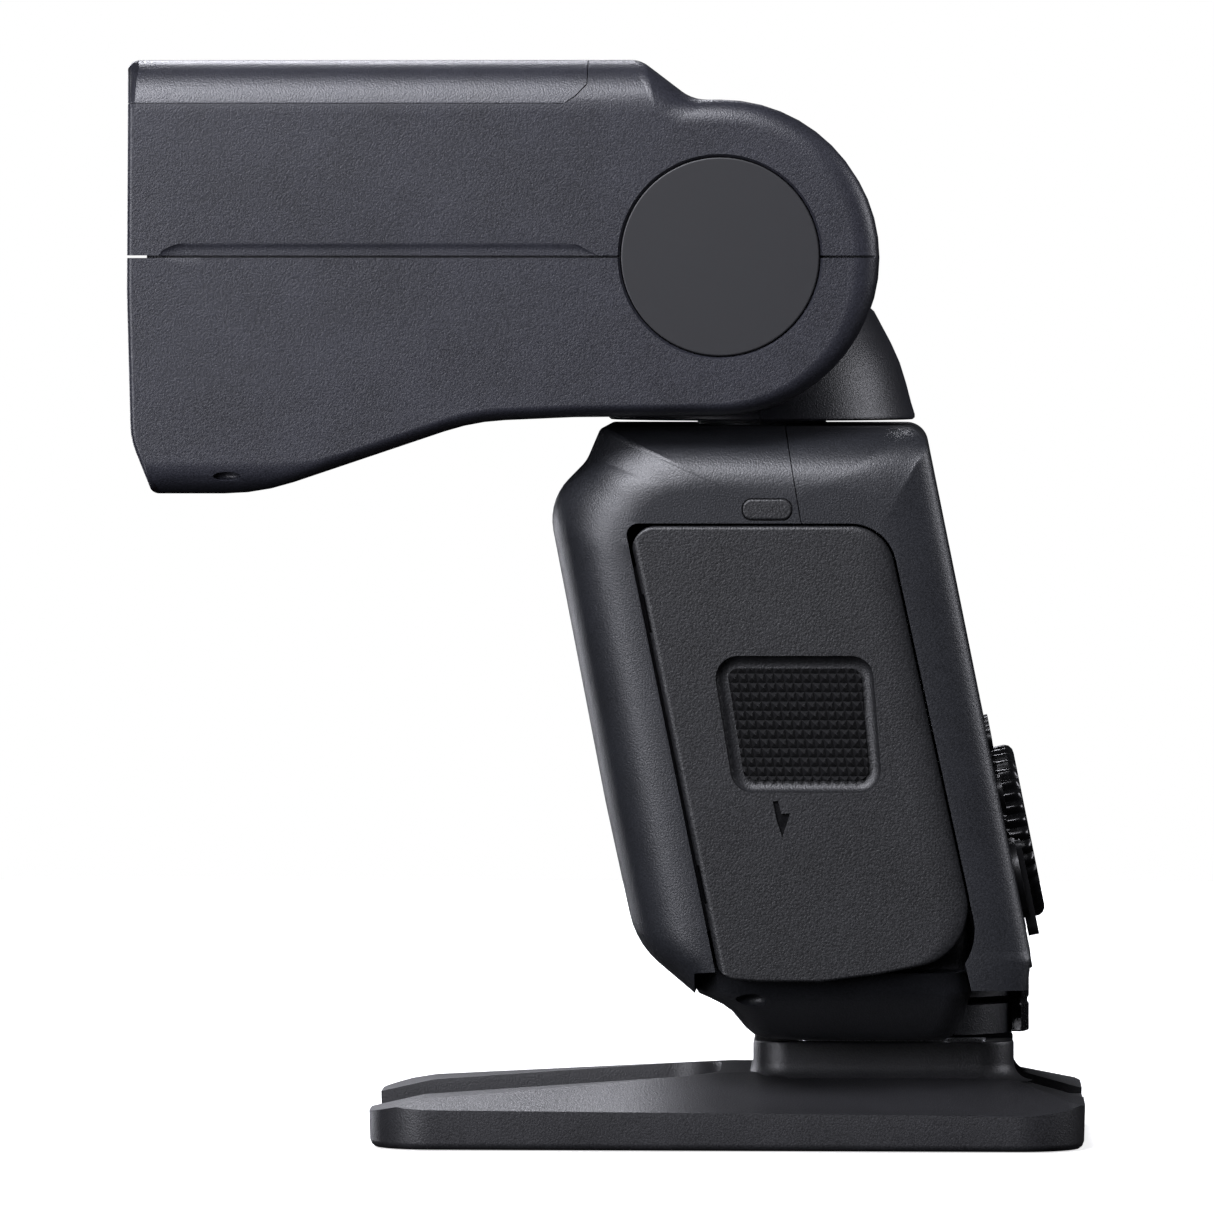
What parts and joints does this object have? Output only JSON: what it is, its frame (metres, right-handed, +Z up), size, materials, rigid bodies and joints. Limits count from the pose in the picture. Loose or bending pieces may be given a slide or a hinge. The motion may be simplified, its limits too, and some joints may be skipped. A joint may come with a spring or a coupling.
{
  "type": "speedlight flash",
  "caption": "Shoe-mount electronic flash with a tilting, swivelling head and a side battery door, on a flat shoe stand.",
  "frame": {"origin": "axis of the tripod socket and shoe, level with the surface the stand rests on", "axes": "+Z up, -Y the firing direction with the head forward, +X towards the battery door"},
  "size_m": [0.0801, 0.1314, 0.15],
  "materials": {
    "stand_plastic": "fine-grained black moulding",
    "head_plastic": "charcoal moulding with a fine blue-grey grain",
    "body_plastic": "charcoal moulding, fine grain",
    "cap_plastic": "smooth satin moulding",
    "door_plastic": "neutral charcoal moulding, coarser grain",
    "panel_plastic": "satin black",
    "key_plastic": "satin black keys",
    "gloss_black": "polished black",
    "rubber_black": "matte black rubber",
    "steel": "machined",
    "brass": "machined brass",
    "inner_plastic": "plain inner moulding",
    "cell_sleeve": "plain grey cell sleeve",
    "capacitor_sleeve": "dark shrink sleeve",
    "board": "green solder mask",
    "display_glass": "dark display window",
    "red_window": "dark red filter",
    "clear_lens": "clear ribbed lens",
    "reflector_silver": "bright reflector",
    "card_white": "plain white card"
  },
  "bodies": {
    "stand": {"stand_base": "stand_plastic", "stand_feet": "rubber_black", "tripod_bush": "brass", "shoe_spring_plate": "steel"},
    "flash_body": {"hot_shoe_foot": "steel", "foot_contacts": "brass", "lock_block": "body_plastic", "base_cover": "body_plastic", "base_screws": "steel", "front_shell": "body_plastic", "rear_shell": "body_plastic", "af_assist_window": "red_window", "side_plug": "door_plastic", "battery_cage": "inner_plastic", "battery_cells": "cell_sleeve", "battery_springs": "steel", "flash_capacitor": "capacitor_sleeve", "main_board": "board", "lcd_module": "board", "lcd_window": "display_glass", "control_panel": "panel_plastic", "sync_socket": "steel"},
    "lock_lever": {"lock_lever": "gloss_black"},
    "lock_pin": {"lock_pin": "steel"},
    "select_dial": {"select_dial": "gloss_black"},
    "set_button": {"set_button": "key_plastic"},
    "function_button_1": {"function_button_1": "key_plastic"},
    "function_button_2": {"function_button_2": "key_plastic"},
    "function_button_3": {"function_button_3": "key_plastic"},
    "function_button_4": {"function_button_4": "key_plastic"},
    "mode_button": {"mode_button": "key_plastic"},
    "option_button": {"option_button": "key_plastic"},
    "test_button": {"test_button": "key_plastic"},
    "power_lever": {"power_lever": "key_plastic"},
    "terminal_cover": {"terminal_cover": "rubber_black"},
    "door_carriage": {"door_slide_rail": "steel", "door_hinge_pin": "steel"},
    "battery_door": {"battery_door": "door_plastic", "door_contact_plate": "steel", "door_grip_pad": "rubber_black"},
    "neck": {"swivel_tube": "inner_plastic", "neck_front_shell": "head_plastic", "neck_rear_shell": "head_plastic", "tilt_axle": "steel", "tilt_detent_plate": "steel"},
    "head": {"head_lower_case": "head_plastic", "head_upper_case": "head_plastic", "head_top_cover": "head_plastic", "tilt_cap_right": "cap_plastic", "tilt_cap_left": "cap_plastic", "front_bezel": "panel_plastic", "fresnel_lens": "clear_lens", "zoom_motor": "inner_plastic"},
    "bounce_release": {"bounce_release_button": "key_plastic"},
    "zoom_carriage": {"zoom_carriage": "inner_plastic", "reflector": "reflector_silver", "flash_tube": "clear_lens"},
    "zoom_leadscrew": {"zoom_leadscrew": "steel"},
    "wide_panel": {"wide_panel": "clear_lens"},
    "bounce_card": {"bounce_card": "card_white"}
  },
  "joints": [
    {"name": "foot_slide", "type": "slide", "parent": "stand", "child": "flash_body", "axis": [0, 1, 0], "range_m": [0, 0.026]},
    {"name": "lock_lever_turn", "type": "hinge", "parent": "flash_body", "child": "lock_lever", "pos_m": [0, 0.006, 0.019], "axis": [0, 0, 1], "range_deg": [0, 34]},
    {"name": "lock_pin_drop", "type": "slide", "parent": "flash_body", "child": "lock_pin", "axis": [0, 0, -1], "range_m": [0, 0.0015]},
    {"name": "dial_turn", "type": "hinge", "parent": "flash_body", "child": "select_dial", "pos_m": [0, 0.01812, 0.04257], "axis": [0, 0.9799, 0.1994], "continuous": true},
    {"name": "set_press", "type": "slide", "parent": "flash_body", "child": "set_button", "axis": [0, -0.9799, -0.1994], "range_m": [0, 0.0005], "stiffness_N_per_m": 1500},
    {"name": "function_1_press", "type": "slide", "parent": "flash_body", "child": "function_button_1", "axis": [0, -0.9799, -0.1994], "range_m": [0, 0.0005], "stiffness_N_per_m": 1500},
    {"name": "function_2_press", "type": "slide", "parent": "flash_body", "child": "function_button_2", "axis": [0, -0.9799, -0.1994], "range_m": [0, 0.0005], "stiffness_N_per_m": 1500},
    {"name": "function_3_press", "type": "slide", "parent": "flash_body", "child": "function_button_3", "axis": [0, -0.9799, -0.1994], "range_m": [0, 0.0005], "stiffness_N_per_m": 1500},
    {"name": "function_4_press", "type": "slide", "parent": "flash_body", "child": "function_button_4", "axis": [0, -0.9799, -0.1994], "range_m": [0, 0.0005], "stiffness_N_per_m": 1500},
    {"name": "mode_press", "type": "slide", "parent": "flash_body", "child": "mode_button", "axis": [0, -0.9799, -0.1994], "range_m": [0, 0.0005], "stiffness_N_per_m": 1500},
    {"name": "option_press", "type": "slide", "parent": "flash_body", "child": "option_button", "axis": [0, -0.9799, -0.1994], "range_m": [0, 0.0005], "stiffness_N_per_m": 1500},
    {"name": "test_press", "type": "slide", "parent": "flash_body", "child": "test_button", "axis": [0, -0.9799, -0.1994], "range_m": [0, 0.0005], "stiffness_N_per_m": 1500},
    {"name": "power_turn", "type": "hinge", "parent": "flash_body", "child": "power_lever", "pos_m": [0.0224, 0.01914, 0.03758], "axis": [0, 0.9799, 0.1994], "range_deg": [0, 60]},
    {"name": "terminal_flap", "type": "hinge", "parent": "flash_body", "child": "terminal_cover", "pos_m": [-0.0364, 0.00125, 0.053], "axis": [0, -0.1994, 0.9799], "range_deg": [0, 95]},
    {"name": "door_slide", "type": "slide", "parent": "flash_body", "child": "door_carriage", "axis": [0, 0.1994, -0.9799], "range_m": [0, 0.003]},
    {"name": "door_swing", "type": "hinge", "parent": "door_carriage", "child": "battery_door", "pos_m": [0.035, -0.02851, 0.05809], "axis": [0, 0.1994, -0.9799], "range_deg": [0, 100]},
    {"name": "swivel", "type": "hinge", "parent": "flash_body", "child": "neck", "pos_m": [0, -0.01735, 0.1], "axis": [0, 0, 1], "range_deg": [-180, 180]},
    {"name": "tilt", "type": "hinge", "parent": "neck", "child": "head", "pos_m": [0, -0.0226, 0.123], "axis": [-1, 0, 0], "range_deg": [-7, 90]},
    {"name": "bounce_release_press", "type": "slide", "parent": "head", "child": "bounce_release", "axis": [1, 0, 0], "range_m": [0, 0.0015], "stiffness_N_per_m": 1500},
    {"name": "zoom_slide", "type": "slide", "parent": "head", "child": "zoom_carriage", "axis": [0, -1, 0], "range_m": [0, 0.02]},
    {"name": "leadscrew_turn", "type": "hinge", "parent": "head", "child": "zoom_leadscrew", "pos_m": [-0.0344, -0.075, 0.118], "axis": [0, 1, 0], "range_deg": [0, 1800]},
    {"name": "wide_panel_slide", "type": "slide", "parent": "head", "child": "wide_panel", "axis": [0, -1, 0], "range_m": [0, 0.042]},
    {"name": "bounce_card_slide", "type": "slide", "parent": "head", "child": "bounce_card", "axis": [0, -1, 0], "range_m": [0, 0.042]}
  ],
  "couplings": [
    {"joint": "lock_pin_drop", "follows": "lock_lever_turn", "m_per_rad": 0.0025278},
    {"joint": "leadscrew_turn", "follows": "zoom_slide", "rad_per_m": 1570.8}
  ]
}
